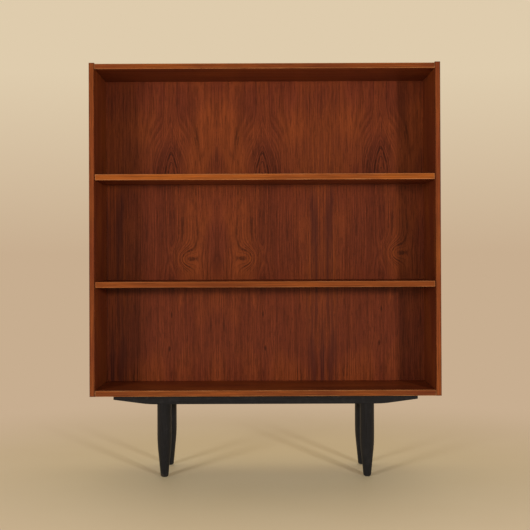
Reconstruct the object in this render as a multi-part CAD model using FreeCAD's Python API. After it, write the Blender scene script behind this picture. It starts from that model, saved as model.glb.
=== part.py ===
import FreeCAD, Part
import math
import os

# Bookcase with two adjustable shelves on a low turned-leg base, millimetres.
# Origin: centre of the footprint on the floor. +Z up, the open front faces -Y,
# +X is to the right seen from the front.

# ---- driving dimensions: case ----
case_width = 1060.0
case_height = 1007.0
case_depth = 285.0
side_thickness = 16.0
top_thickness = 16.0
bottom_thickness = 18.0
top_drop = 3.0               # top panel lies this far below the upper ends of the sides
panel_setback = 1.5          # top and bottom panels stand this far behind the sides' front edges
lipping_depth = 6.0          # solid strip glued on every front edge
arris_radius = 2.0           # eased front edges of the lippings

# ---- driving dimensions: back panel in its rabbet ----
back_thickness = 6.0
rabbet_depth = 9.0           # from the rear edges, along Y
rabbet_width = 8.0           # into the sides, top and bottom
back_edge_gap = 0.3

# ---- driving dimensions: shelves and shelf pins ----
shelf_thickness = 18.0
shelf_setback = 6.0
shelf_end_gap = 1.5
shelf_back_gap = 2.0
pin_radius = 2.5
pin_length = 19.0
pin_chamfer = 0.5
pin_hole_depth = 10.0
pin_hole_clearance = 0.05    # radial running clearance of a pin in its hole
pin_end_gap = 0.3            # between the pin and the bottom of its hole
pin_column_setback = 37.0    # hole columns from the sides' front edges and from the back panel
pin_travel = 10.5            # a pin drawn this far inwards has left its hole
hole_pitch = 25.0
hole_rows = 21
first_hole_height = 231.0    # above the underside of the case
lower_shelf_row = 4
upper_shelf_row = 17
notch_height = 6.0           # in the underside of a shelf, hides the pin
notch_side_gap = 1.0
notch_end_gap = 2.5
pin_seat_gap = 0.3           # between the top of a pin and its notch

# ---- driving dimensions: dowels and screws ----
dowel_radius = 4.0
dowel_length = 30.0
dowel_clearance = 0.05
dowel_chamfer = 0.5
dowel_end_gap = 0.5
case_dowel_depth = 10.0      # length of a dowel inside a side panel
case_dowels_per_joint = 4
case_dowel_inset = 42.0      # first and last dowel from the case's front and rear edges
back_screw_radius = 1.5
back_screw_head_radius = 3.0
back_screw_length = 18.0
back_screw_inset = 4.0       # from the edge of the back panel
back_screws_per_side = 5
back_screws_per_end = 5
back_screw_corner_gap = 60.0
base_screw_radius = 2.0
base_screw_head_radius = 4.0
base_screw_length = 37.0
screw_clearance = 0.05
rail_screw_offsets = [120.0, 240.0]   # either side of a rail's middle

# ---- driving dimensions: base ----
base_height = 247.0
rail_length = 920.0
rail_height = 25.0
rail_depth = 44.0
rail_tip_height = 11.0
rail_taper_length = 105.0
rail_taper_blend = 300.0     # radius that eases the straight underside into the taper
rail_edge_radius = 1.5
rail_inset = 17.0            # rail faces from the case's front and rear edges
leg_offset = 308.0           # leg axes either side of the middle
cross_rail_width = 44.0
cross_dowel_offset = 14.0    # dowels either side of a cross rail's middle
cross_dowel_depth = 12.0     # length of a dowel inside a long rail
leg_radius = 21.5
leg_foot_radius = 11.5
leg_foot_rounding = 2.0
leg_taper_height = 103.0     # above the floor, where the straight part and the cone would meet
leg_taper_blend = 500.0      # radius that eases the straight part into the cone
tenon_radius = 10.0
tenon_length = 18.0
tenon_clearance = 0.05
tenon_end_gap = 0.5
glide_radius = 8.0
glide_thickness = 2.0
glide_nail_radius = 1.2
glide_nail_length = 12.0

# ---- places that follow from the sizes ----
outer_x = case_width / 2
inner_x = outer_x - side_thickness
front_y = -case_depth / 2
rear_y = case_depth / 2
case_bottom_z = base_height
case_top_z = base_height + case_height
bottom_top_z = case_bottom_z + bottom_thickness
top_top_z = case_top_z - top_drop
top_bottom_z = top_top_z - top_thickness
back_front_y = rear_y - rabbet_depth
back_rear_y = back_front_y + back_thickness
panel_front_y = front_y + panel_setback
shelf_front_y = front_y + shelf_setback
shelf_rear_y = back_front_y - shelf_back_gap
shelf_half_length = inner_x - shelf_end_gap
front_column_y = front_y + pin_column_setback
rear_column_y = back_front_y - pin_column_setback
rail_bottom_z = base_height - rail_height
rail_centre_y = -front_y - rail_inset - rail_depth / 2
pin_axis_above_underside = notch_height - pin_seat_gap - pin_radius
panel_dowel_depth = dowel_length - case_dowel_depth
top_dowel_z = (top_bottom_z + top_top_z) / 2
bottom_dowel_z = (case_bottom_z + bottom_top_z) / 2
rail_dowel_z = rail_bottom_z + rail_height / 2

X_AXIS = FreeCAD.Vector(1, 0, 0)
Y_AXIS = FreeCAD.Vector(0, 1, 0)
Z_AXIS = FreeCAD.Vector(0, 0, 1)


def vec(x, y, z):
    return FreeCAD.Vector(x, y, z)


def block(x0, x1, y0, y1, z0, z1):
    """Box between two corners, given low and high on each axis."""
    return Part.makeBox(x1 - x0, y1 - y0, z1 - z0, vec(x0, y0, z0))


def even_spread(first, last, count):
    """Evenly spaced values from first to last, both included."""
    step = (last - first) / (count - 1)
    return [first + step * i for i in range(count)]


def middle_of(edge):
    return edge.valueAt((edge.FirstParameter + edge.LastParameter) / 2)


def ease_edges(shape, radius, wanted):
    """Round the edges of shape whose middle passes the wanted() test."""
    return shape.makeFillet(radius, [edge for edge in shape.Edges if wanted(middle_of(edge))])


def hole_height(row):
    """Height of the axis of a row of shelf-pin holes."""
    return case_bottom_z + first_hole_height + hole_pitch * row


def shelf_underside(row):
    return hole_height(row) - pin_axis_above_underside


# ---- dowels, pins and screws ----

def rod(start, axis, radius, length, chamfer=0.0):
    """Round rod from start along axis, with both ends chamfered if asked."""
    shape = Part.makeCylinder(radius, length, start, axis)
    if chamfer:
        ends = [edge for edge in shape.Edges if isinstance(edge.Curve, Part.Circle)]
        shape = shape.makeChamfer(chamfer, ends)
    return shape


def dowel(start, axis):
    return rod(start, axis, dowel_radius, dowel_length, dowel_chamfer)


def dowel_bore(start, axis):
    """Bore for a dowel, longer than the dowel by the glue space at each end."""
    begin = start - axis * dowel_end_gap
    return rod(begin, axis, dowel_radius + dowel_clearance, dowel_length + 2 * dowel_end_gap)


def screw(tip_side, head, radius, head_radius, length, clearance=0.0):
    """Countersunk screw: flat head at the point head, shank towards tip_side, pointed tip."""
    head_height = head_radius - radius
    point_length = 2 * radius
    shank = Part.makeCylinder(radius + clearance, length - point_length, head, tip_side)
    cone = Part.makeCone(head_radius + clearance, radius + clearance, head_height, head, tip_side)
    point_start = head + tip_side * (length - point_length)
    point = Part.makeCone(radius + clearance, clearance, point_length, point_start, tip_side)
    return shank.fuse([cone, point]).removeSplitter()


def case_dowel_starts(side):
    """Outer ends of the dowels that join one side panel to the top and bottom panels."""
    x = side * (inner_x + case_dowel_depth)
    ys = even_spread(front_y + case_dowel_inset, rear_y - case_dowel_inset, case_dowels_per_joint)
    return [vec(x, y, z) for z in (bottom_dowel_z, top_dowel_z) for y in ys]


def case_dowel_set(make):
    """All dowels or all bores between the sides and the top and bottom panels."""
    return [make(start, X_AXIS * -side) for side in (-1, 1) for start in case_dowel_starts(side)]


def cross_dowel_set(make):
    """All dowels or all bores between the cross rails and the long rails."""
    shapes = []
    for side in (-1, 1):
        for offset in (-cross_dowel_offset, cross_dowel_offset):
            for end in (-1, 1):
                y = end * (rail_centre_y - rail_depth / 2 + cross_dowel_depth)
                start = vec(side * leg_offset + offset, y, rail_dowel_z)
                shapes.append(make(start, Y_AXIS * -end))
    return shapes


def back_screw_places():
    """Screw places round the back panel, over the sides and the top and bottom panels."""
    side_x = inner_x + rabbet_width - back_screw_inset
    low_z = bottom_top_z - rabbet_width + back_screw_inset
    high_z = top_bottom_z + rabbet_width - back_screw_inset
    corner = back_screw_corner_gap
    rows = even_spread(low_z + corner, high_z - corner, back_screws_per_side)
    columns = even_spread(-side_x + corner, side_x - corner, back_screws_per_end)
    places = [vec(side * side_x, back_rear_y, z) for side in (-1, 1) for z in rows]
    places += [vec(x, back_rear_y, z) for z in (low_z, high_z) for x in columns]
    return places


def back_screw_set(clearance=0.0):
    return [
        screw(-Y_AXIS, place, back_screw_radius, back_screw_head_radius, back_screw_length, clearance)
        for place in back_screw_places()
    ]


def base_screw_set(clearance=0.0):
    """Screws up through the base into the bottom panel: along the rails and in each cross rail."""
    offsets = [side * offset for side in (-1, 1) for offset in rail_screw_offsets]
    places = [vec(x, y, rail_bottom_z) for y in (-rail_centre_y, rail_centre_y) for x in offsets]
    places += [vec(side * leg_offset, 0, rail_bottom_z) for side in (-1, 1)]
    return [
        screw(Z_AXIS, place, base_screw_radius, base_screw_head_radius, base_screw_length, clearance)
        for place in places
    ]


# ---- case ----

def back_rabbet():
    """Space round the back panel that is cut from the sides, the top and the bottom."""
    reach = rabbet_width
    return block(
        -inner_x - reach, inner_x + reach, back_front_y, rear_y,
        bottom_top_z - reach, top_bottom_z + reach,
    )


def pin_hole(side, y, row):
    start = vec(side * inner_x, y, hole_height(row))
    return Part.makeCylinder(pin_radius + pin_hole_clearance, pin_hole_depth, start, X_AXIS * side)


def side_panel(side):
    """Side with its rear rabbet, dowel bores and two columns of shelf-pin holes."""
    x0, x1 = sorted((side * inner_x, side * outer_x))
    panel = block(x0, x1, front_y + lipping_depth, rear_y, case_bottom_z, case_top_z)
    holes = [
        pin_hole(side, y, row)
        for y in (front_column_y, rear_column_y) for row in range(hole_rows)
    ]
    cutters = [back_rabbet()] + case_dowel_set(dowel_bore) + back_screw_set(screw_clearance) + holes
    return panel.cut(cutters)


def side_lipping(side):
    """Front edge strip over the whole height of a side, with eased front arrises."""
    x0, x1 = sorted((side * inner_x, side * outer_x))
    strip = block(x0, x1, front_y, front_y + lipping_depth, case_bottom_z, case_top_z)
    return ease_edges(strip, arris_radius, lambda p: p.y < front_y + arris_radius)


def level_panel(z0, z1):
    """Top or bottom panel between the sides, behind its lipping."""
    panel = block(-inner_x, inner_x, panel_front_y + lipping_depth, rear_y, z0, z1)
    cutters = [back_rabbet()] + case_dowel_set(dowel_bore) + back_screw_set(screw_clearance)
    cutters += base_screw_set(screw_clearance)
    return panel.cut(cutters)


def level_lipping(half_length, y0, z0, z1):
    """Front edge strip along X with its two long front arrises eased."""
    strip = block(-half_length, half_length, y0, y0 + lipping_depth, z0, z1)
    return ease_edges(strip, arris_radius, lambda p: p.y < y0 + arris_radius and abs(p.x) < arris_radius)


def back_panel():
    """Plywood back, screwed into the rabbet from behind."""
    gap = back_edge_gap
    reach = rabbet_width - gap
    panel = block(
        -inner_x - reach, inner_x + reach, back_front_y, back_rear_y,
        bottom_top_z - reach, top_bottom_z + reach,
    )
    return panel.cut(back_screw_set(screw_clearance))


# ---- shelves ----

def shelf_notch(side, y, z0):
    """Groove in a shelf's underside, open at its end, that takes a pin in and out of its hole."""
    protrusion = pin_length + pin_end_gap - pin_hole_depth
    half_width = pin_radius + notch_side_gap
    x_end = inner_x - protrusion - pin_travel - notch_end_gap
    x0, x1 = sorted((side * x_end, side * inner_x))
    return block(x0, x1, y - half_width, y + half_width, z0, z0 + notch_height)


def shelf_board(row):
    z0 = shelf_underside(row)
    board = block(
        -shelf_half_length, shelf_half_length, shelf_front_y + lipping_depth, shelf_rear_y,
        z0, z0 + shelf_thickness,
    )
    notches = [shelf_notch(side, y, z0) for side in (-1, 1) for y in (front_column_y, rear_column_y)]
    return board.cut(notches)


def shelf_lipping(row):
    z0 = shelf_underside(row)
    return level_lipping(shelf_half_length, shelf_front_y, z0, z0 + shelf_thickness)


def shelf_pin(side, y, row):
    """Plain pin with chamfered ends, resting in its hole and standing out under the shelf."""
    start = vec(side * (inner_x + pin_hole_depth - pin_end_gap), y, hole_height(row))
    return rod(start, X_AXIS * -side, pin_radius, pin_length, pin_chamfer)


# ---- base ----

def rail_outline():
    """Front view of a long rail: straight underside that rises in a taper to each tip."""
    half = rail_length / 2
    knee = half - rail_taper_length
    rise = rail_height - rail_tip_height
    slope = math.atan2(rise, rail_taper_length)
    tangent = rail_taper_blend * math.tan(slope / 2)
    sag = rail_taper_blend * (1 - math.cos(slope / 2))
    bottom = rail_bottom_z

    def point(x, z):
        return vec(x, 0, z)

    def blend(side):
        flat_end = point(side * (knee - tangent), bottom)
        middle_x = knee - tangent + rail_taper_blend * math.sin(slope / 2)
        taper_start = point(side * (knee + tangent * math.cos(slope)), bottom + tangent * math.sin(slope))
        return flat_end, point(side * middle_x, bottom + sag), taper_start

    left = blend(-1)
    right = blend(1)
    tip_z = bottom + rise
    edges = [
        Part.LineSegment(left[0], right[0]).toShape(),
        Part.Arc(*right).toShape(),
        Part.LineSegment(right[2], point(half, tip_z)).toShape(),
        Part.LineSegment(point(half, tip_z), point(half, base_height)).toShape(),
        Part.LineSegment(point(half, base_height), point(-half, base_height)).toShape(),
        Part.LineSegment(point(-half, base_height), point(-half, tip_z)).toShape(),
        Part.LineSegment(point(-half, tip_z), left[2]).toShape(),
        Part.Arc(left[2], left[1], left[0]).toShape(),
    ]
    return Part.Face(Part.Wire(edges))


def leg_mortises():
    depth = tenon_length + tenon_end_gap
    return [
        Part.makeCylinder(tenon_radius + tenon_clearance, depth, vec(x, y, rail_bottom_z))
        for x in (-leg_offset, leg_offset) for y in (-rail_centre_y, rail_centre_y)
    ]


def long_rail(end):
    """Front or rear rail: the outline as deep as the rail, with eased lower edges and its bores."""
    y = end * rail_centre_y
    outline = rail_outline()
    outline.translate(vec(0, y - rail_depth / 2, 0))
    rail = outline.extrude(vec(0, rail_depth, 0))

    def lower_long_edge(p):
        below_tip_middle = p.z < base_height - 0.75 * rail_tip_height
        return below_tip_middle and abs(p.y - y) > rail_depth / 4

    rail = ease_edges(rail, rail_edge_radius, lower_long_edge)
    cutters = leg_mortises() + cross_dowel_set(dowel_bore) + base_screw_set(screw_clearance)
    return rail.cut(cutters)


def cross_rail(side):
    """Short rail between the long rails at a pair of legs."""
    half_width = cross_rail_width / 2
    half_length = rail_centre_y - rail_depth / 2
    x = side * leg_offset
    rail = block(x - half_width, x + half_width, -half_length, half_length, rail_bottom_z, base_height)
    return rail.cut(cross_dowel_set(dowel_bore) + base_screw_set(screw_clearance))


def leg_outline():
    """Half section of a leg in the XZ plane: tenon, straight part, eased cone and rounded foot."""
    foot_z = glide_thickness
    tenon_top = rail_bottom_z + tenon_length
    cone_angle = math.atan2(leg_radius - leg_foot_radius, leg_taper_height - foot_z)
    tangent = leg_taper_blend * math.tan(cone_angle / 2)
    sag = leg_taper_blend * (1 - math.cos(cone_angle / 2))
    rounding = leg_foot_rounding

    def point(r, z):
        return vec(r, 0, z)

    blend_top = point(leg_radius, leg_taper_height + tangent)
    blend_mid_z = leg_taper_height + tangent - leg_taper_blend * math.sin(cone_angle / 2)
    blend_middle = point(leg_radius - sag, blend_mid_z)
    blend_end_r = leg_radius - tangent * math.sin(cone_angle)
    blend_end = point(blend_end_r, leg_taper_height - tangent * math.cos(cone_angle))
    foot_side = point(leg_foot_radius + rounding * math.tan(cone_angle), foot_z + rounding)
    foot_inset = rounding * (1 - math.cos(math.pi / 4))
    foot_middle = point(foot_side.x - foot_inset, foot_z + foot_inset)
    foot_bottom = point(foot_side.x - rounding, foot_z)
    corners = [foot_bottom, point(0, foot_z), point(0, tenon_top), point(tenon_radius, tenon_top)]
    corners += [point(tenon_radius, rail_bottom_z), point(leg_radius, rail_bottom_z), blend_top]
    edges = [Part.LineSegment(a, b).toShape() for a, b in zip(corners, corners[1:])]
    edges.append(Part.Arc(blend_top, blend_middle, blend_end).toShape())
    edges.append(Part.LineSegment(blend_end, foot_side).toShape())
    edges.append(Part.Arc(foot_side, foot_middle, foot_bottom).toShape())
    return Part.Face(Part.Wire(edges))


def leg(x, y):
    turned = leg_outline().revolve(vec(0, 0, 0), Z_AXIS, 360)
    nail_hole = Part.makeCylinder(
        glide_nail_radius + screw_clearance, glide_nail_length, vec(0, 0, glide_thickness))
    turned = turned.cut(nail_hole)
    turned.translate(vec(x, y, 0))
    return turned


def glide(x, y):
    """Round nail-on glide under a foot: its disc meets the floor."""
    disc = Part.makeCylinder(glide_radius, glide_thickness, vec(x, y, 0))
    nail_length = glide_nail_length - screw_clearance
    nail = Part.makeCylinder(glide_nail_radius, nail_length, vec(x, y, glide_thickness))
    return disc.fuse(nail).removeSplitter()


# ---- the whole bookcase ----

def case_nodes():
    nodes = {}
    for side, name in ((-1, "left"), (1, "right")):
        nodes[name + "_side"] = side_panel(side)
        nodes[name + "_side_lipping"] = side_lipping(side)
    nodes["top_panel"] = level_panel(top_bottom_z, top_top_z)
    nodes["bottom_panel"] = level_panel(case_bottom_z, bottom_top_z)
    nodes["top_lipping"] = level_lipping(inner_x, panel_front_y, top_bottom_z, top_top_z)
    nodes["bottom_lipping"] = level_lipping(inner_x, panel_front_y, case_bottom_z, bottom_top_z)
    nodes["back_panel"] = back_panel()
    nodes["case_dowels"] = Part.makeCompound(case_dowel_set(dowel))
    nodes["back_panel_screws"] = Part.makeCompound(back_screw_set())
    return nodes


def shelf_nodes():
    nodes = {}
    for name, row in (("upper", upper_shelf_row), ("lower", lower_shelf_row)):
        nodes[name + "_shelf"] = shelf_board(row)
        nodes[name + "_shelf_lipping"] = shelf_lipping(row)
        for side, side_name in ((-1, "left"), (1, "right")):
            for y, end_name in ((front_column_y, "front"), (rear_column_y, "rear")):
                nodes[name + "_" + side_name + "_" + end_name + "_pin"] = shelf_pin(side, y, row)
    return nodes


def base_nodes():
    nodes = {"front_rail": long_rail(-1), "rear_rail": long_rail(1)}
    for side, side_name in ((-1, "left"), (1, "right")):
        nodes[side_name + "_cross_rail"] = cross_rail(side)
        for end, end_name in ((-1, "front"), (1, "rear")):
            place = end_name + "_" + side_name
            nodes[place + "_leg"] = leg(side * leg_offset, end * rail_centre_y)
            nodes[place + "_glide"] = glide(side * leg_offset, end * rail_centre_y)
    nodes["base_dowels"] = Part.makeCompound(cross_dowel_set(dowel))
    nodes["base_screws"] = Part.makeCompound(base_screw_set())
    return nodes


def write_nodes(nodes):
    os.makedirs("parts", exist_ok=True)
    for name, shape in nodes.items():
        shape.exportStep(os.path.join("parts", name + ".step"))
        print(name, "solids", len(shape.Solids), "valid", shape.isValid(), "volume", round(shape.Volume))


all_nodes = {}
all_nodes.update(case_nodes())
all_nodes.update(shelf_nodes())
all_nodes.update(base_nodes())
write_nodes(all_nodes)
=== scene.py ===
import math
import random

import bpy
from mathutils import Matrix, Vector


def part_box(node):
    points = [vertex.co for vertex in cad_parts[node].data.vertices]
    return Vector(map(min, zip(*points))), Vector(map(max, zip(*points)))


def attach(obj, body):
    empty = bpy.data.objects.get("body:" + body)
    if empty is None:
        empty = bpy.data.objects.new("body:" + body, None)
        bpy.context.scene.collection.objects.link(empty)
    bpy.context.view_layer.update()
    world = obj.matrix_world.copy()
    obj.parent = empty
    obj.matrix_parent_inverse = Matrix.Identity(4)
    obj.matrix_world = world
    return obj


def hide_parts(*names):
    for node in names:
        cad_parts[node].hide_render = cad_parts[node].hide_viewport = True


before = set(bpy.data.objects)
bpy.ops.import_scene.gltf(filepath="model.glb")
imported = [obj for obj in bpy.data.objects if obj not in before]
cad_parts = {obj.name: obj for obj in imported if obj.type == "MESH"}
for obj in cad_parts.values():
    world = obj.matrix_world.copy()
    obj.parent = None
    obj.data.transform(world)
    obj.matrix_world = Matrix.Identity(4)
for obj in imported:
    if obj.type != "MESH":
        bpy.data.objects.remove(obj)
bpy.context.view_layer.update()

MM = 0.001


# ---- colour and nodes ----

def srgb(code):
    """A colour written as an sRGB hex code, turned to the linear values that shaders use."""
    channels = [int(code[i:i + 2], 16) / 255 for i in (0, 2, 4)]
    linear = [c / 12.92 if c <= 0.04045 else ((c + 0.055) / 1.055) ** 2.4 for c in channels]
    return (*linear, 1.0)


def add(tree, kind, inputs=None, **settings):
    """Adds a node. Settings are its properties. Inputs are values, or the nodes or sockets to link.

    An input is given by its name or its number. Of a MapRange, 1 and 2 are the range that comes in,
    and 3 and 4 the range that goes out, which is 0 to 1 where they aren't given.
    """
    node = tree.nodes.new("ShaderNode" + kind)
    for name, value in settings.items():
        setattr(node, name, value)
    for key, value in (inputs or {}).items():
        socket = node.inputs[key] if isinstance(key, int) else next(
            s for s in node.inputs if s.name == key and s.enabled)
        if isinstance(value, bpy.types.Node):
            value = next(s for s in value.outputs if s.enabled)
        if isinstance(value, bpy.types.NodeSocket):
            tree.links.new(value, socket)
        else:
            socket.default_value = value
    return node


def new_material(name):
    """A new material, with its node tree emptied."""
    material = bpy.data.materials.new(name)
    material.use_nodes = True
    material.node_tree.nodes.clear()
    return material, material.node_tree


def stretched_noise(tree, across, along, width, length, seed, detail=2.0, roughness=0.55):
    """Noise in patches about width across and length along, in metres."""
    place = add(tree, "CombineXYZ", {
        0: add(tree, "Math", {0: across, 1: 1 / width}, operation="MULTIPLY"),
        1: add(tree, "Math", {0: along, 1: 1 / length}, operation="MULTIPLY"),
        2: seed})
    return add(tree, "TexNoise", {"Vector": place, "Scale": 1.0, "Detail": detail, "Roughness": roughness})


# ---- teak ----

def log_rings(tree, across, along, depth, log):
    """Distance from the pith of the log that a board was cut from, in metres, with three masks: how
    steeply the rings meet the board, the curls round large knots and the dark hearts of small ones.

    The pith wanders beside the board, and the log tapers over a stretch of its length, so the rings
    that run off the board there close in the peaks of a flat-cut figure. Knots push the rings over
    and part them.
    """
    wander = add(tree, "TexNoise", {"W": along, "Scale": log["wander_per_m"], "Detail": 1.0},
                 noise_dimensions="1D")
    swing = add(tree, "MapRange", {"Value": wander, 3: -log["wander"], 4: log["wander"]})
    off_pith = add(tree, "Math", {0: across, 1: log["pith_across"]}, operation="SUBTRACT")
    sideways = add(tree, "Math", {0: off_pith, 1: swing}, operation="ADD")
    below = add(tree, "Math", {0: depth, 1: log["pith_depth"]}, operation="ADD")
    from_pith = add(tree, "CombineXYZ", {0: sideways, 1: below})
    radius = add(tree, "VectorMath", {0: from_pith}, operation="LENGTH").outputs["Value"]
    off_axis = add(tree, "Math", {0: sideways}, operation="ABSOLUTE")
    steep = add(tree, "Math", {0: off_axis, 1: radius}, operation="DIVIDE")
    if log["taper"]:
        # The taper shows beside the pith and fades away from it, where the grain runs straight.
        full_within, gone_beyond = 30 * MM, 100 * MM
        start, end, thinner = log["taper"]
        close = add(tree, "MapRange", {"Value": off_axis, 1: full_within, 2: gone_beyond, 3: thinner,
                                       4: 0.0})
        thinning = add(tree, "MapRange", {"Value": along, 1: start, 2: end},
                       interpolation_type="SMOOTHSTEP")
        thinning = add(tree, "Math", {0: thinning, 1: close}, operation="MULTIPLY")
        radius = add(tree, "Math", {0: radius, 1: thinning}, operation="ADD")
    heart_full = 0.97
    curls, hearts = None, None
    for knot_across, knot_along, reach_across, reach_along, push, split, heart_size in log["knots"]:
        off_knot = add(tree, "CombineXYZ", {
            0: add(tree, "Math", {0: across, 1: knot_across}, operation="SUBTRACT"),
            1: add(tree, "Math", {0: along, 1: knot_along}, operation="SUBTRACT")})
        off_knot = add(tree, "VectorMath", {0: off_knot, 1: (1 / reach_across, 1 / reach_along, 0)},
                       operation="MULTIPLY")
        square = add(tree, "VectorMath", {0: off_knot, 1: off_knot}, operation="DOT_PRODUCT")
        fall = add(tree, "Math", {0: square.outputs["Value"], 1: -1.0}, operation="MULTIPLY")
        # 1 at the knot, falling away smoothly all round it.
        swell = add(tree, "Math", {0: fall}, operation="EXPONENT")
        side = add(tree, "SeparateXYZ", {0: off_knot}).outputs["X"]
        shove = add(tree, "Math", {0: side, 1: split, 2: push}, operation="MULTIPLY_ADD")
        radius = add(tree, "Math", {0: swell, 1: shove, 2: radius}, operation="MULTIPLY_ADD")
        if heart_size:
            heart = add(tree, "MapRange", {"Value": swell, 1: 1.0 - heart_size, 2: heart_full})
            hearts = add(tree, "Math", {0: heart, 1: hearts}, operation="MAXIMUM") if hearts else heart
        else:
            curls = add(tree, "Math", {0: swell, 1: curls}, operation="MAXIMUM") if curls else swell
    return radius, steep, curls, hearts


def near_edges(tree, low, high, width):
    """1 on the edges of the box between two corners, falling to 0 at width from them, in metres."""
    centre, half = (low + high) / 2, (high - low) / 2
    centred = add(tree, "VectorMath", {0: add(tree, "TexCoord").outputs["Object"], 1: centre},
                  operation="SUBTRACT")
    folded = add(tree, "VectorMath", {0: centred}, operation="ABSOLUTE")
    inside = add(tree, "SeparateXYZ", {0: add(tree, "VectorMath", {0: half, 1: folded},
                                              operation="SUBTRACT")})
    # A point on an edge is close to two faces, so the middle one of its three depths is small.
    lesser = add(tree, "Math", {0: inside.outputs[0], 1: inside.outputs[1]}, operation="MINIMUM")
    greater = add(tree, "Math", {0: inside.outputs[0], 1: inside.outputs[1]}, operation="MAXIMUM")
    capped = add(tree, "Math", {0: greater, 1: inside.outputs[2]}, operation="MINIMUM")
    middle = add(tree, "Math", {0: lesser, 1: capped}, operation="MAXIMUM")
    return add(tree, "MapRange", {"Value": middle, 1: width, 2: 0.3 * width})


def bookmatched(tree, across, along, leaf):
    """Leaves of veneer from one log, opened like a book: each mirrors the next, and has slipped a
    little along the grain."""
    most_slip = 50 * MM
    leaf_number = add(tree, "Math", {0: across, 1: leaf["width"]}, operation="SNAP")
    slip = add(tree, "TexNoise", {"W": leaf_number, "Scale": leaf["slips"], "Detail": 0.0},
               noise_dimensions="1D")
    slip = add(tree, "MapRange", {"Value": slip, 3: -most_slip, 4: most_slip})
    return (add(tree, "Math", {0: across, 1: leaf["width"]}, operation="PINGPONG"),
            add(tree, "Math", {0: along, 1: slip}, operation="ADD"))


def ring_lines(tree, rings, steep, curls, surface, along, log, seed):
    """Mask of the thin dark lines along the rings. They lie where a noise crosses its middle, short
    breaks part them, and they come and go in patches."""
    lines = stretched_noise(tree, rings, along, 8 * MM, 900 * MM, seed + 5.3, 0.0)
    patches = stretched_noise(tree, surface, along, 40 * MM, 170 * MM, seed + 8.7)
    breaks = stretched_noise(tree, surface, along, 5 * MM, 24 * MM, seed + 71.0, 1.0)
    off_middle = add(tree, "Math", {0: lines, 1: 0.5}, operation="SUBTRACT")
    off_middle = add(tree, "Math", {0: off_middle}, operation="ABSOLUTE")
    # Where rings lie flat in the board they spread out, and their lines are kept thin.
    flattest = 0.15
    spread = add(tree, "Math", {0: steep, 1: flattest}, operation="MAXIMUM")
    off_middle = add(tree, "Math", {0: off_middle, 1: spread}, operation="DIVIDE")
    core = add(tree, "MapRange", {"Value": off_middle, 1: 0.090, 2: 0.045})
    unbroken = add(tree, "MapRange", {"Value": breaks, 1: 0.36, 2: 0.50, 3: 0.35})
    core = add(tree, "Math", {0: core, 1: unbroken}, operation="MULTIPLY")
    patch = add(tree, "MapRange", {"Value": patches, 1: 0.46, 2: 0.68, 4: 0.8})
    # Close to the pith and round large knots the lines are strongest, so the figure stands out.
    plain_beyond, strong_within, build_up = 38 * MM, 28 * MM, 80 * MM
    by_pith = add(tree, "MapRange", {"Value": rings, 1: plain_beyond, 2: strong_within})
    if log["taper"]:
        peaks_start = log["taper"][0]
        peaked = add(tree, "MapRange", {"Value": along, 1: peaks_start - build_up, 2: peaks_start,
                                        3: 0.35})
        by_pith = add(tree, "Math", {0: by_pith, 1: peaked}, operation="MULTIPLY")
    patch = add(tree, "Math", {0: patch, 1: by_pith}, operation="MAXIMUM")
    if curls:
        by_knot = add(tree, "MapRange", {"Value": curls, 1: 0.08, 2: 0.40, 4: 0.95})
        patch = add(tree, "Math", {0: patch, 1: by_knot}, operation="MAXIMUM")
    return add(tree, "Math", {0: core, 1: patch}, operation="MULTIPLY")


def mineral_streaks(tree, across, along, leaf, seed):
    """Mask of dark mineral streaks, in pairs on both sides of a seam and mostly low in the sheet."""
    starts_from_seam, full_from_seam = 75 * MM, 30 * MM
    faint_above, full_below = 1100 * MM, 850 * MM
    beside_seam = add(tree, "MapRange", {"Value": across, 1: leaf["width"] - starts_from_seam,
                                         2: leaf["width"] - full_from_seam})
    low_down = add(tree, "MapRange", {"Value": along, 1: faint_above, 2: full_below, 3: 0.25, 4: 1.0})
    streaks = stretched_noise(tree, across, along, 13 * MM, 450 * MM, seed + 31.0, 2.0)
    streaks = add(tree, "MapRange", {"Value": streaks, 1: 0.40, 2: 0.62})
    for mask in (beside_seam, low_down, 0.7):
        streaks = add(tree, "Math", {0: streaks, 1: mask}, operation="MULTIPLY")
    return streaks


def plies_behind(tree, colour, across, along, depth, thickness, seed):
    """Puts the paler plies behind the face veneer, crossed one over another, down to the rear face."""
    veneer, ply, hair = 0.7 * MM, 1.3 * MM, 0.05 * MM
    darker_from, darkest_from = 0.5 * MM, 0.8 * MM
    layers = add(tree, "Math", {0: depth, 1: ply}, operation="PINGPONG")
    layers = add(tree, "MapRange", {"Value": layers, 1: darker_from, 2: darkest_from})
    tone = stretched_noise(tree, across, along, 14 * MM, 380 * MM, seed + 41.0, 4.0, 0.65)
    tone = add(tree, "MapRange", {"Value": tone, 1: 0.3, 2: 0.7})
    pale = add(tree, "Mix", {"Factor": tone, "A": srgb("8C6A4A"), "B": srgb("A8845E")},
               data_type="RGBA")
    core = add(tree, "Mix", {"Factor": layers, "A": pale, "B": srgb("6E5238")}, data_type="RGBA")
    rear_face = add(tree, "Math", {0: depth, 1: thickness - hair}, operation="GREATER_THAN")
    core = add(tree, "Mix", {"Factor": rear_face, "A": core, "B": pale}, data_type="RGBA")
    behind = add(tree, "Math", {0: depth, 1: veneer}, operation="GREATER_THAN")
    return add(tree, "Mix", {"Factor": behind, "A": colour, "B": core}, data_type="RGBA")


def painted_joint_shade(tree, along, length):
    """Mask of the fine dark line where each end meets the board that it butts against: painted shade of the
    gap at the joint.
    """
    starts_from_end, full_from_end = 2.6 * MM, 1.4 * MM
    from_middle = add(tree, "Math", {0: along, 1: length / 2}, operation="SUBTRACT")
    from_middle = add(tree, "Math", {0: from_middle}, operation="ABSOLUTE")
    return add(tree, "MapRange", {"Value": from_middle, 1: length / 2 - starts_from_end,
                                  2: length / 2 - full_from_end, 4: 0.9})


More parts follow.
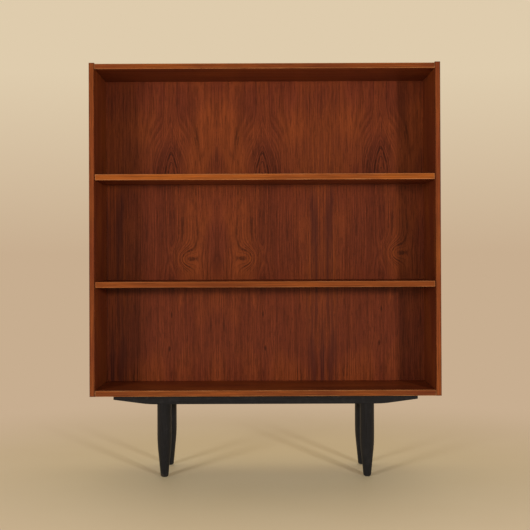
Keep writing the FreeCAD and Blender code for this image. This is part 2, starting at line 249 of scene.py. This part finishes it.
def teak(name, box, axes, log, tones, seed=0.0, leaf=None, butted=False):
    """Teak, knife-cut or sawn, sanded and finished in satin lacquer.

    The eye sees orange-brown wood with fine streaks and thin dark lines along the growth rings, a
    slow change of tone across them, short open pores, and a soft sheen that the pores break up. On
    the arrises the colour is lighter as rubbed wear on the boards, lighter as a painted highlight on
    the shelf, top and bottom lippings, and darker as painted shade of the rounded edge on the side lippings.
    """
    material, tree = new_material(name)
    low, high = box
    origin = Vector((leaf["seam"], low.y, 0.0)) if leaf else low
    from_origin = add(tree, "VectorMath", {0: add(tree, "TexCoord").outputs["Object"], 1: origin},
                      operation="SUBTRACT")
    place = add(tree, "SeparateXYZ", {0: from_origin})
    across, along, depth = (place.outputs[axis] for axis in axes)
    if leaf:
        sheet_across, sheet_along = across, along
        across, along = bookmatched(tree, across, along, leaf)
    rings, steep, curls, hearts = log_rings(tree, across, along, depth, log)
    surface = add(tree, "Math", {0: across, 1: depth}, operation="ADD")

    # Each pattern has a seed of its own, so that no two line up.
    bands = stretched_noise(tree, rings, along, 30 * MM, 700 * MM, seed)
    ring_streaks = stretched_noise(tree, rings, along, 3.4 * MM, 500 * MM, seed + 3.1, 1.0)
    board_streaks = stretched_noise(tree, surface, along, 1.8 * MM, 120 * MM, seed + 27.7, 1.0)
    streaks = add(tree, "Math", {0: ring_streaks, 1: board_streaks}, operation="ADD")
    ticks = stretched_noise(tree, surface, along, 1.8 * MM, 34 * MM, seed + 21.3, 0.0)
    blush = stretched_noise(tree, surface, along, 130 * MM, 300 * MM, seed + 36.9, 2.0)
    # Fibres and pores are drawn 1 mm wide, coarser than the real 0.3 mm, so that they show.
    fibres = stretched_noise(tree, surface, along, 1.1 * MM, 70 * MM, seed + 11.9, 3.0, 0.7)
    pore_noise = stretched_noise(tree, surface, along, 1.0 * MM, 13 * MM, seed + 15.1, 1.0)

    band_tone = add(tree, "MapRange", {"Value": bands, 1: 0.25, 2: 0.75})
    colour = add(tree, "Mix", {"Factor": band_tone, "A": srgb(tones["dark"]), "B": srgb(tones["light"])},
                 data_type="RGBA")
    blush_and_painted_shine = add(tree, "MapRange", {"Value": blush, 1: 0.42, 2: 0.66, 4: 0.7})
    if curls:
        # Where the grain dives round a knot the colour is mixed lighter, in bands along the rings: a painted
        # highlight of the wood's shine there.
        painted_knot_shine = stretched_noise(tree, rings, along, 9 * MM, 600 * MM, seed + 61.0, 1.0)
        painted_knot_shine = add(tree, "MapRange", {"Value": painted_knot_shine, 1: 0.42, 2: 0.60})
        painted_knot_shine = add(tree, "Math", {0: painted_knot_shine, 1: curls}, operation="MULTIPLY")
        blush_and_painted_shine = add(tree, "Math", {0: blush_and_painted_shine, 1: painted_knot_shine}, operation="MAXIMUM")
    colour = add(tree, "Mix", {"Factor": blush_and_painted_shine, "A": colour, "B": srgb(tones["blush"])},
                 data_type="RGBA")
    streak_tone = add(tree, "MapRange", {"Value": streaks, 1: 0.70, 2: 1.30, 3: 0.72, 4: 1.28})
    fibre_tone = add(tree, "MapRange", {"Value": fibres, 1: 0.3, 2: 0.7, 3: 0.80, 4: 1.18})
    tone = add(tree, "Math", {0: streak_tone, 1: fibre_tone}, operation="MULTIPLY")
    colour = add(tree, "Mix", {"Factor": 1.0, "A": colour, "B": tone}, data_type="RGBA",
                 blend_type="MULTIPLY")

    # Over the tones lie the dark marks: ring lines, open pores, short ticks and the hearts of knots.
    pores = add(tree, "MapRange", {"Value": pore_noise, 1: 0.64, 2: 0.76})
    tick_mask = add(tree, "MapRange", {"Value": ticks, 1: 0.59, 2: 0.67, 4: 0.5})
    dark_mask = ring_lines(tree, rings, steep, curls, surface, along, log, seed)
    for marks in [pores, tick_mask] + ([hearts] if hearts else []):
        dark_mask = add(tree, "Math", {0: dark_mask, 1: marks}, operation="MAXIMUM")
    dark_mask = add(tree, "Math", {0: dark_mask, 1: tones["line_strength"]}, operation="MULTIPLY")
    colour = add(tree, "Mix", {"Factor": dark_mask, "A": colour, "B": srgb(tones["line"])},
                 data_type="RGBA")
    if leaf:
        colour = add(tree, "Mix", {"Factor": mineral_streaks(tree, across, along, leaf, seed),
                                   "A": colour, "B": srgb("3A1815")}, data_type="RGBA")
        colour = plies_behind(tree, colour, sheet_across, sheet_along, depth, high.y - low.y, seed)
    if butted:
        length = (high - low)["XYZ".index(axes[1])]
        # Each end is darkened in a thin line at the joint, as painted shade of the gap there.
        colour = add(tree, "Mix", {"Factor": painted_joint_shade(tree, along, length), "A": colour,
                                   "B": srgb("1E0E08")}, data_type="RGBA")
    # On the arrises the colour is mixed, in patches, toward the rim colour of the tones: rubbed wear on the
    # boards, a painted highlight on the shelf, top and bottom lippings, and painted shade on the side
    # lippings.
    rim_patches = stretched_noise(tree, surface, along, 8 * MM, 60 * MM, seed + 51.0, 3.0)
    rim_patches = add(tree, "MapRange", {"Value": rim_patches, 1: 0.4, 2: 0.7, 3: 0.25, 4: 0.75})
    rim = add(tree, "Math", {0: near_edges(tree, low, high, tones["rim_mm"] * MM), 1: rim_patches},
              operation="MULTIPLY")
    colour = add(tree, "Mix", {"Factor": rim, "A": colour, "B": srgb(tones["rim"])}, data_type="RGBA")

    height = add(tree, "Math", {0: pores, 1: -1.0, 2: fibres}, operation="MULTIPLY_ADD")
    relief = add(tree, "Bump", {"Height": height, "Strength": 0.2, "Distance": 0.1 * MM})
    # The finish is duller in the dark streaks, and along the rims that carry the edge colour.
    sheen = add(tree, "MapRange", {"Value": streaks, 1: 0.7, 2: 1.3, 3: 0.46, 4: 0.36})
    sheen = add(tree, "Math", {0: rim, 1: 0.2, 2: sheen}, operation="MULTIPLY_ADD")
    add(tree, "OutputMaterial", {"Surface": add(tree, "BsdfPrincipled", {
        "Base Color": colour, "Roughness": sheen, "Normal": relief, "IOR": 1.5,
        "Specular IOR Level": 0.25})})
    return material


# ---- the other materials ----

def black_lacquered_beech(name, along):
    """Turned or planed beech, sprayed with black satin lacquer.

    The eye sees charcoal black, even in colour, with the flat grain just showing through as fine
    lines along the piece, a faint unevenness left by spraying, and a few dull handling marks.
    """
    material, tree = new_material(name)
    place = add(tree, "TexCoord").outputs["Object"]
    grain_scale = [1 / (1.2 * MM)] * 3
    grain_scale["XYZ".index(along)] = 1 / (60 * MM)
    stretched = add(tree, "Mapping", {"Vector": place, "Scale": grain_scale})
    grain = add(tree, "TexNoise", {"Vector": stretched, "Scale": 1.0, "Detail": 2.0})
    spray = add(tree, "TexNoise", {"Vector": place, "Scale": 1 / (1.6 * MM), "Detail": 1.0})
    marks = add(tree, "TexNoise", {"Vector": place, "Scale": 1 / (22 * MM), "Detail": 4.0, "Roughness": 0.6})
    tone = add(tree, "MapRange", {"Value": grain, 1: 0.3, 2: 0.7})
    colour = add(tree, "Mix", {"Factor": tone, "A": srgb("131315"), "B": srgb("202022")}, data_type="RGBA")
    dull = add(tree, "MapRange", {"Value": marks, 1: 0.52, 2: 0.72})
    faint = add(tree, "Math", {0: dull, 1: 0.35}, operation="MULTIPLY")
    colour = add(tree, "Mix", {"Factor": faint, "A": colour, "B": srgb("343232")}, data_type="RGBA")
    # Nearest the floor the finish is rubbed by brooms and shoes.
    scuff_top, scuff_full = 22 * MM, 2 * MM
    height = add(tree, "SeparateXYZ", {0: place}).outputs["Z"]
    foot = add(tree, "MapRange", {"Value": height, 1: scuff_top, 2: scuff_full, 4: 0.5})
    scuffed = add(tree, "Math", {0: foot, 1: dull}, operation="MULTIPLY")
    colour = add(tree, "Mix", {"Factor": scuffed, "A": colour, "B": srgb("5A4A3A")}, data_type="RGBA")
    surface = add(tree, "Math", {0: grain, 1: 1.5, 2: spray}, operation="MULTIPLY_ADD")
    relief = add(tree, "Bump", {"Height": surface, "Strength": 0.25, "Distance": 0.08 * MM})
    gloss = add(tree, "MapRange", {"Value": marks, 1: 0.35, 2: 0.7, 3: 0.42, 4: 0.56})
    add(tree, "OutputMaterial", {"Surface": add(tree, "BsdfPrincipled", {
        "Base Color": colour, "Roughness": gloss, "Normal": relief, "IOR": 1.5,
        "Specular IOR Level": 0.25})})
    return material


def zinc_plated_steel():
    """Steel screws, zinc plated.

    The eye sees dull silver with a faint yellow and blue bloom, fine turning marks, and darker
    tarnish in spots.
    """
    material, tree = new_material("zinc_plated_steel")
    place = add(tree, "TexCoord").outputs["Object"]
    bloom = add(tree, "TexNoise", {"Vector": place, "Scale": 1 / (5 * MM), "Detail": 2.0})
    tarnish = add(tree, "TexNoise", {"Vector": place, "Scale": 1 / (1.5 * MM), "Detail": 4.0})
    turning = add(tree, "TexNoise", {"Vector": place, "Scale": 1 / (0.3 * MM), "Detail": 1.0})
    shade = add(tree, "MapRange", {"Value": bloom, 1: 0.35, 2: 0.65})
    colour = add(tree, "Mix", {"Factor": shade, "A": srgb("B9B49E"), "B": srgb("A3A9B2")}, data_type="RGBA")
    spots = add(tree, "MapRange", {"Value": tarnish, 1: 0.55, 2: 0.75, 4: 0.7})
    colour = add(tree, "Mix", {"Factor": spots, "A": colour, "B": srgb("5B534A")}, data_type="RGBA")
    relief = add(tree, "Bump", {"Height": turning, "Strength": 0.3, "Distance": 0.03 * MM})
    gloss = add(tree, "MapRange", {"Value": tarnish, 1: 0.4, 2: 0.75, 3: 0.28, 4: 0.6})
    add(tree, "OutputMaterial", {"Surface": add(tree, "BsdfPrincipled", {
        "Base Color": colour, "Roughness": gloss, "Normal": relief, "Metallic": 1.0})})
    return material


def drawn_brass():
    """Shelf pins cut from drawn brass rod.

    The eye sees warm yellow metal with fine draw lines along the pin and brown tarnish in patches.
    """
    material, tree = new_material("drawn_brass")
    place = add(tree, "TexCoord").outputs["Object"]
    draw_scale = (1 / (6 * MM), 1 / (0.4 * MM), 1 / (0.4 * MM))
    drawn = add(tree, "Mapping", {"Vector": place, "Scale": draw_scale})
    draw_lines = add(tree, "TexNoise", {"Vector": drawn, "Scale": 1.0, "Detail": 1.0})
    tarnish = add(tree, "TexNoise", {"Vector": place, "Scale": 1 / (2.5 * MM), "Detail": 3.0})
    spots = add(tree, "MapRange", {"Value": tarnish, 1: 0.45, 2: 0.7, 4: 0.8})
    colour = add(tree, "Mix", {"Factor": spots, "A": srgb("C9A85A"), "B": srgb("7A5A2C")}, data_type="RGBA")
    relief = add(tree, "Bump", {"Height": draw_lines, "Strength": 0.3, "Distance": 0.02 * MM})
    gloss = add(tree, "MapRange", {"Value": tarnish, 1: 0.4, 2: 0.7, 3: 0.25, 4: 0.5})
    add(tree, "OutputMaterial", {"Surface": add(tree, "BsdfPrincipled", {
        "Base Color": colour, "Roughness": gloss, "Normal": relief, "Metallic": 1.0})})
    return material


def beech_dowel():
    """Beech dowels, turned and unfinished.

    The eye sees pale pinkish tan with small brown flecks along the grain, dry and without gloss.
    """
    material, tree = new_material("turned_beech")
    place = add(tree, "TexCoord").outputs["Object"]
    tone = add(tree, "TexNoise", {"Vector": place, "Scale": 1 / (6 * MM), "Detail": 3.0})
    fleck_scale = (1 / (2.5 * MM), 1 / (0.5 * MM), 1 / (0.5 * MM))
    stretched = add(tree, "Mapping", {"Vector": place, "Scale": fleck_scale})
    flecks = add(tree, "TexNoise", {"Vector": stretched, "Scale": 1.0, "Detail": 1.0})
    colour = add(tree, "Mix", {"Factor": tone, "A": srgb("BE9668"), "B": srgb("D8B58A")}, data_type="RGBA")
    fleck_mask = add(tree, "MapRange", {"Value": flecks, 1: 0.60, 2: 0.70, 4: 0.6})
    colour = add(tree, "Mix", {"Factor": fleck_mask, "A": colour, "B": srgb("94653C")}, data_type="RGBA")
    relief = add(tree, "Bump", {"Height": flecks, "Strength": 0.2, "Distance": 0.05 * MM})
    add(tree, "OutputMaterial", {"Surface": add(tree, "BsdfPrincipled", {
        "Base Color": colour, "Roughness": 0.7, "Normal": relief})})
    return material


def moulded_polythene():
    """Glides moulded in dark polythene.

    The eye sees brown-black plastic with a waxy, low sheen and greyish scuffs from the floor.
    """
    material, tree = new_material("moulded_polythene")
    place = add(tree, "TexCoord").outputs["Object"]
    scuff_noise = add(tree, "TexNoise", {"Vector": place, "Scale": 1 / (3 * MM), "Detail": 5.0,
                                         "Roughness": 0.7})
    texture = add(tree, "TexNoise", {"Vector": place, "Scale": 1 / (0.4 * MM), "Detail": 1.0})
    scuffs = add(tree, "MapRange", {"Value": scuff_noise, 1: 0.5, 2: 0.75, 4: 0.7})
    colour = add(tree, "Mix", {"Factor": scuffs, "A": srgb("231F1B"), "B": srgb("6A6258")}, data_type="RGBA")
    relief = add(tree, "Bump", {"Height": texture, "Strength": 0.2, "Distance": 0.05 * MM})
    gloss = add(tree, "MapRange", {"Value": scuff_noise, 1: 0.4, 2: 0.75, 3: 0.42, 4: 0.7})
    add(tree, "OutputMaterial", {"Surface": add(tree, "BsdfPrincipled", {
        "Base Color": colour, "Roughness": gloss, "Normal": relief})})
    return material


def dress(material, *nodes):
    """Gives CAD nodes a material in all their slots."""
    for node in nodes:
        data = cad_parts[node].data
        data.materials.clear()
        data.materials.append(material)


# The rim colour of each set goes on the arrises: on the back and the boards it is rubbed wear, on the shelf,
# top and bottom lippings a painted highlight, and on the side lippings painted shade of the rounded edges.
BACK_TONES = {"dark": "5D2717", "light": "6F311A", "blush": "843E1B", "line": "280F09",
              "line_strength": 0.74, "rim": "8A4A26", "rim_mm": 1.6}
BOARD_TONES = {"dark": "662B17", "light": "7C3A1B", "blush": "89431B", "line": "30140B",
               "line_strength": 0.5, "rim": "A05E34", "rim_mm": 1.6}
# The bottom board's tones are lighter than the other boards', as a painted reflection of the lacquer's sheen
# on its top face.
BOTTOM_TONES_WITH_PAINTED_REFLECTION = dict(BOARD_TONES, dark="75331A", light="8C4420", blush="9A4E20")
SHELF_LIPPING_TONES = {"dark": "763717", "light": "8E4A1C", "blush": "9C541C", "line": "4A220F",
                       "line_strength": 0.35, "rim": "C08050", "rim_mm": 3.0}
LOWER_SHELF_LIPPING_TONES = {"dark": "632A13", "light": "7C3D18", "blush": "88461A", "line": "3E1C0D",
                             "line_strength": 0.35, "rim": "A86C40", "rim_mm": 3.0}
LEVEL_LIPPING_TONES = {"dark": "632D16", "light": "7C3C1A", "blush": "87461A", "line": "3A190D",
                       "line_strength": 0.4, "rim": "B07848", "rim_mm": 3.0}
SIDE_LIPPING_TONES = {"dark": "6A2F18", "light": "84411D", "blush": "8C4A1E", "line": "3A190D",
                      "line_strength": 0.4, "rim": "2C120A", "rim_mm": 3.6}

# Lengths in the leaves and the logs are in metres. "slips" is how fast the slip of a leaf changes
# from one leaf to the next.
BACK_LEAVES = {"seam": -0.156, "width": 0.340, "slips": 7.0}
# Taper: where it starts and ends along the log, and how much thinner the log is at its end.
BACK_LOG = {
    "pith_across": 0.148, "pith_depth": 0.004, "taper": (0.92, 1.15, 0.056), "wander": 0.008,
    "wander_per_m": 2.0,
    # Each knot: across, along, reach across, reach along, push, split, and how much of the swelling
    # is its dark heart.
    "knots": [(0.106, 0.662, 0.039, 0.038, 0.050, 0.0, 0.0),
              (0.155, 0.370, 0.009, 0.024, 0.003, 0.011, 0.22),
              (0.148, 0.480, 0.008, 0.026, 0.002, 0.009, 0.25)],
}
# Boards and lippings are cut away from the heart, so their grain runs nearly straight.
BOARD_LOG = {"pith_across": 0.05, "pith_depth": 0.08, "taper": None, "wander": 0.012,
             "wander_per_m": 1.5, "knots": []}
LIPPING_LOG = {"pith_across": 0.25, "pith_depth": 0.10, "taper": None, "wander": 0.006,
               "wander_per_m": 1.0, "knots": []}

dress(teak("teak_back_veneer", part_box("back_panel"), ("X", "Z", "Y"), BACK_LOG, BACK_TONES,
           leaf=BACK_LEAVES), "back_panel")

# Across, along and through the grain, for boards and lippings that stand or lie.
STANDING_BOARD = ("Y", "Z", "X")
LYING_BOARD = ("Y", "X", "Z")
STANDING_LIPPING = ("X", "Z", "Y")
LYING_LIPPING = ("Z", "X", "Y")
for number, (board, board_axes, board_tones, lipping_axes, lipping_tones) in enumerate([
        ("left_side", STANDING_BOARD, BOARD_TONES, STANDING_LIPPING, SIDE_LIPPING_TONES),
        ("right_side", STANDING_BOARD, BOARD_TONES, STANDING_LIPPING, SIDE_LIPPING_TONES),
        ("top_panel", LYING_BOARD, BOARD_TONES, LYING_LIPPING, LEVEL_LIPPING_TONES),
        ("bottom_panel", LYING_BOARD, BOTTOM_TONES_WITH_PAINTED_REFLECTION, LYING_LIPPING, LEVEL_LIPPING_TONES),
        ("upper_shelf", LYING_BOARD, BOARD_TONES, LYING_LIPPING, SHELF_LIPPING_TONES),
        ("lower_shelf", LYING_BOARD, BOARD_TONES, LYING_LIPPING, LOWER_SHELF_LIPPING_TONES)]):
    board_seed, lipping_seed = 20.0 + 7.3 * number, 90.0 + 5.1 * number
    lipping = board.replace("_panel", "") + "_lipping"
    # The top and bottom panels fit between the sides.
    butted = board.endswith("_panel")
    dress(teak("teak_" + board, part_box(board), board_axes, BOARD_LOG, board_tones, board_seed,
               butted=butted), board)
    dress(teak("teak_" + lipping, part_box(lipping), lipping_axes, LIPPING_LOG, lipping_tones,
               lipping_seed, butted=butted), lipping)

lacquer = {along: black_lacquered_beech("black_lacquered_beech_" + along.lower(), along) for along in "XYZ"}
dress(beech_dowel(), "case_dowels", "base_dowels")
# A node takes the first finish whose ending fits its name.
FINISHES = [("_pin", drawn_brass()), ("_leg", lacquer["Z"]), ("_cross_rail", lacquer["Y"]),
            ("_rail", lacquer["X"]), ("_glide", moulded_polythene())]
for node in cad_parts:
    for ending, finish in FINISHES:
        if node.endswith(ending):
            dress(finish, node)
            break


# ---- slotted screws ----

steel = zinc_plated_steel()


def pick_faces(obj, wanted):
    """In edit mode, leaves only the faces selected whose centre and normal pass a test."""
    bpy.ops.object.mode_set(mode="OBJECT")
    for part in (obj.data.vertices, obj.data.edges, obj.data.polygons):
        part.foreach_set("select", [False] * len(part))
    for face in obj.data.polygons:
        face.select = wanted(face.center, face.normal)
    bpy.ops.object.mode_set(mode="EDIT")


def slotted_screw(head_radius, shank_radius, length):
    """One countersunk wood screw, its slotted head up at the origin and its tip down."""
    rim, point, tip_share = 0.2 * MM, 5 * MM, 0.12
    cone = head_radius - shank_radius
    # The slot stops short of the rim, so that it is one sunk box.
    half_slot, reach, slot_depth = 0.16 * head_radius, 0.88 * head_radius, 0.45 * head_radius
    bpy.ops.object.select_all(action="DESELECT")
    bpy.ops.mesh.primitive_cylinder_add(vertices=32, radius=head_radius, depth=rim,
                                        location=(0, 0, -rim / 2))
    obj = bpy.context.object
    bpy.ops.object.transform_apply(location=True, rotation=True, scale=True)
    bpy.ops.object.mode_set(mode="EDIT")
    bpy.ops.mesh.select_mode(type="FACE")
    pick_faces(obj, lambda centre, normal: normal.z < -0.9)
    for drop, shrink in [(cone - rim, shank_radius / head_radius), (length - cone - point, 1.0),
                         (point, tip_share)]:
        bpy.ops.mesh.extrude_region_move(TRANSFORM_OT_translate={"value": (0, 0, -drop)})
        bpy.ops.transform.resize(value=(shrink, shrink, 1.0))
    for direction, offset in [((1, 0, 0), half_slot), ((1, 0, 0), -half_slot),
                              ((0, 1, 0), reach), ((0, 1, 0), -reach)]:
        pick_faces(obj, lambda centre, normal: normal.z > 0.9)
        bpy.ops.mesh.bisect(plane_co=[offset * d for d in direction], plane_no=direction)
    pick_faces(obj, lambda centre, normal: normal.z > 0.9 and abs(centre.x) < half_slot
               and abs(centre.y) < 0.5 * reach)
    bpy.ops.mesh.extrude_region_move(TRANSFORM_OT_translate={"value": (0, 0, -slot_depth)})
    bpy.ops.object.mode_set(mode="OBJECT")
    bpy.ops.object.shade_smooth_by_angle(angle=math.radians(30))
    obj.data.materials.append(steel)
    return obj


def head_places(node, face_axis, face):
    """Middles of the screw heads of a CAD node, found on the plane that its heads lie in."""
    flat, widest_head = 0.1 * MM, 12 * MM
    found = []
    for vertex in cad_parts[node].data.vertices:
        if abs(vertex.co[face_axis] - face) > flat:
            continue
        for group in found:
            if (group[0] - vertex.co).length < widest_head:
                group.append(vertex.co)
                break
        else:
            found.append([vertex.co])
    return [sum(group, Vector()) / len(group) for group in found]


def screw_set(name, node, face_axis, face, turn, screw):
    """A copy of one screw at each head of a CAD node, every slot left at its own angle, as driven."""
    dice = random.Random(node)
    pattern = slotted_screw(**screw)
    copies = []
    for place in head_places(node, face_axis, face):
        copy = pattern.copy()
        copy.data = pattern.data.copy()
        bpy.context.scene.collection.objects.link(copy)
        copy.matrix_world = (Matrix.Translation(place) @ Matrix.Rotation(math.radians(turn), 4, "X")
                             @ Matrix.Rotation(dice.uniform(0, math.pi), 4, "Z"))
        copies.append(copy)
    bpy.data.objects.remove(pattern)
    bpy.ops.object.select_all(action="DESELECT")
    for copy in copies:
        copy.select_set(True)
    bpy.context.view_layer.objects.active = copies[0]
    bpy.ops.object.join()
    piece = bpy.context.object
    bpy.ops.object.transform_apply(location=True, rotation=True, scale=True)
    piece.name = name
    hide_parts(node)
    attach(piece, "root")


BACK_SCREW = {"head_radius": 3.0 * MM, "shank_radius": 1.5 * MM, "length": 18 * MM}
BASE_SCREW = {"head_radius": 4.0 * MM, "shank_radius": 2.0 * MM, "length": 37 * MM}
# Degrees about X that turn a screw's head from up to the rear, and from up to down.
HEAD_TO_REAR, HEAD_DOWN = -90, 180
Y_AXIS, Z_AXIS = 1, 2
screw_set("slotted_back_screws", "back_panel_screws", Y_AXIS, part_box("back_panel_screws")[1].y,
          HEAD_TO_REAR, BACK_SCREW)
screw_set("slotted_base_screws", "base_screws", Z_AXIS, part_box("base_screws")[0].z,
          HEAD_DOWN, BASE_SCREW)


# ---- floor, light and camera ----

def aim(thing, place, target):
    """Puts a light at a place and points it at a target."""
    thing.location = place
    direction = [t - p for t, p in zip(target, place)]
    flat = math.hypot(direction[0], direction[1])
    thing.rotation_euler = (math.atan2(flat, -direction[2]), 0.0, math.atan2(-direction[0], direction[1]))


def studio_glow(tree, toward):
    """Colour of the studio's soft light from a direction: bright all round, and dim high up in front
    of the object."""
    part = add(tree, "SeparateXYZ", {0: add(tree, "VectorMath", {0: toward}, operation="NORMALIZE")})
    high = add(tree, "MapRange", {"Value": part.outputs["Z"], 1: 0.0, 2: 0.15})
    wall = add(tree, "Mix", {"Factor": high, "A": srgb("C8AE90"), "B": srgb("DFCCAD")}, data_type="RGBA")
    before = add(tree, "MapRange", {"Value": part.outputs["Y"], 1: 0.45, 2: -0.45})
    above = add(tree, "MapRange", {"Value": part.outputs["Z"], 1: 0.0, 2: 0.22})
    dim = add(tree, "Math", {0: before, 1: above}, operation="MULTIPLY")
    return add(tree, "Mix", {"Factor": dim, "A": wall, "B": srgb("544D44")}, data_type="RGBA")


def painted_floor():
    """A floor painted in a pale warm colour and rolled, with the roller's fine stipple in the paint.

    Well away from the object it turns into the light of the studio round it.
    """
    material, tree = new_material("pale_rolled_floor_paint")
    place = add(tree, "TexCoord").outputs["Object"]
    stipple = add(tree, "TexNoise", {"Vector": place, "Scale": 1 / (4 * MM), "Detail": 2.0})
    tone = add(tree, "TexNoise", {"Vector": place, "Scale": 1 / (350 * MM), "Detail": 2.0})
    colour = add(tree, "Mix", {"Factor": tone, "A": srgb("E6D6B0"), "B": srgb("ECDEBC")}, data_type="RGBA")
    relief = add(tree, "Bump", {"Height": stipple, "Strength": 0.15, "Distance": 0.2 * MM})
    paint = add(tree, "BsdfPrincipled", {"Base Color": colour, "Roughness": 0.6, "Normal": relief})
    distance = add(tree, "VectorMath", {0: place}, operation="LENGTH").outputs["Value"]
    paint_fades_from, all_glow_from = 0.25, 1.8
    far = add(tree, "MapRange", {"Value": distance, 1: paint_fades_from, 2: all_glow_from},
              interpolation_type="SMOOTHSTEP")
    glow = add(tree, "Emission", {"Color": studio_glow(tree, place)})
    add(tree, "OutputMaterial", {"Surface": add(tree, "MixShader", {"Fac": far, 1: paint, 2: glow})})
    return material


FLOOR_SIZE = 60.0
bpy.ops.object.select_all(action="DESELECT")
bpy.ops.mesh.primitive_plane_add(size=FLOOR_SIZE, location=(0, 0, 0))
floor = bpy.context.object
floor.name = "floor"
floor.data.materials.append(painted_floor())

world = bpy.data.worlds.new("studio")
bpy.context.scene.world = world
world.use_nodes = True
world.node_tree.nodes.clear()
sky = add(world.node_tree, "TexCoord").outputs["Object"]
add(world.node_tree, "OutputWorld", {"Surface": add(world.node_tree, "Background", {
    "Color": studio_glow(world.node_tree, sky)})})


def soft_light(name, place, target, size, power):
    """A round softbox. It isn't mirrored in the lacquer, which shows the studio's glow instead."""
    data = bpy.data.lights.new(name, "AREA")
    data.shape = "DISK"
    data.size = size
    data.energy = power
    light = bpy.data.objects.new(name, data)
    light.visible_glossy = False
    bpy.context.scene.collection.objects.link(light)
    aim(light, place, target)


MIDDLE = (0.0, 0.0, 0.7)
# Each softbox: its name, its place, how wide it is, and its power in watts.
for name, place, size, power in [("right_softbox", (1.64, -3.8, 0.95), 0.26, 76.0),
                                 ("left_softbox", (-2.12, -3.8, 1.00), 0.75, 84.0)]:
    soft_light(name, place, MIDDLE, size, power)

# The camera stands in front of the case, level but for a fraction of a degree.
CAMERA_PLACE = (0.0041, -3.6972, 0.6778)
CAMERA_TURN = (90.378, 0.218, 0.069)
LENS_MM, SENSOR_MM = 80.2, 36.0
SHIFT_UP = -0.037
camera_data = bpy.data.cameras.new("camera")
camera_data.lens = LENS_MM
camera_data.sensor_width = SENSOR_MM
camera_data.shift_y = SHIFT_UP
camera = bpy.data.objects.new("camera", camera_data)
camera.location = CAMERA_PLACE
camera.rotation_euler = [math.radians(degrees) for degrees in CAMERA_TURN]
bpy.context.scene.collection.objects.link(camera)
bpy.context.scene.camera = camera
bpy.context.scene.view_settings.view_transform = "Standard"
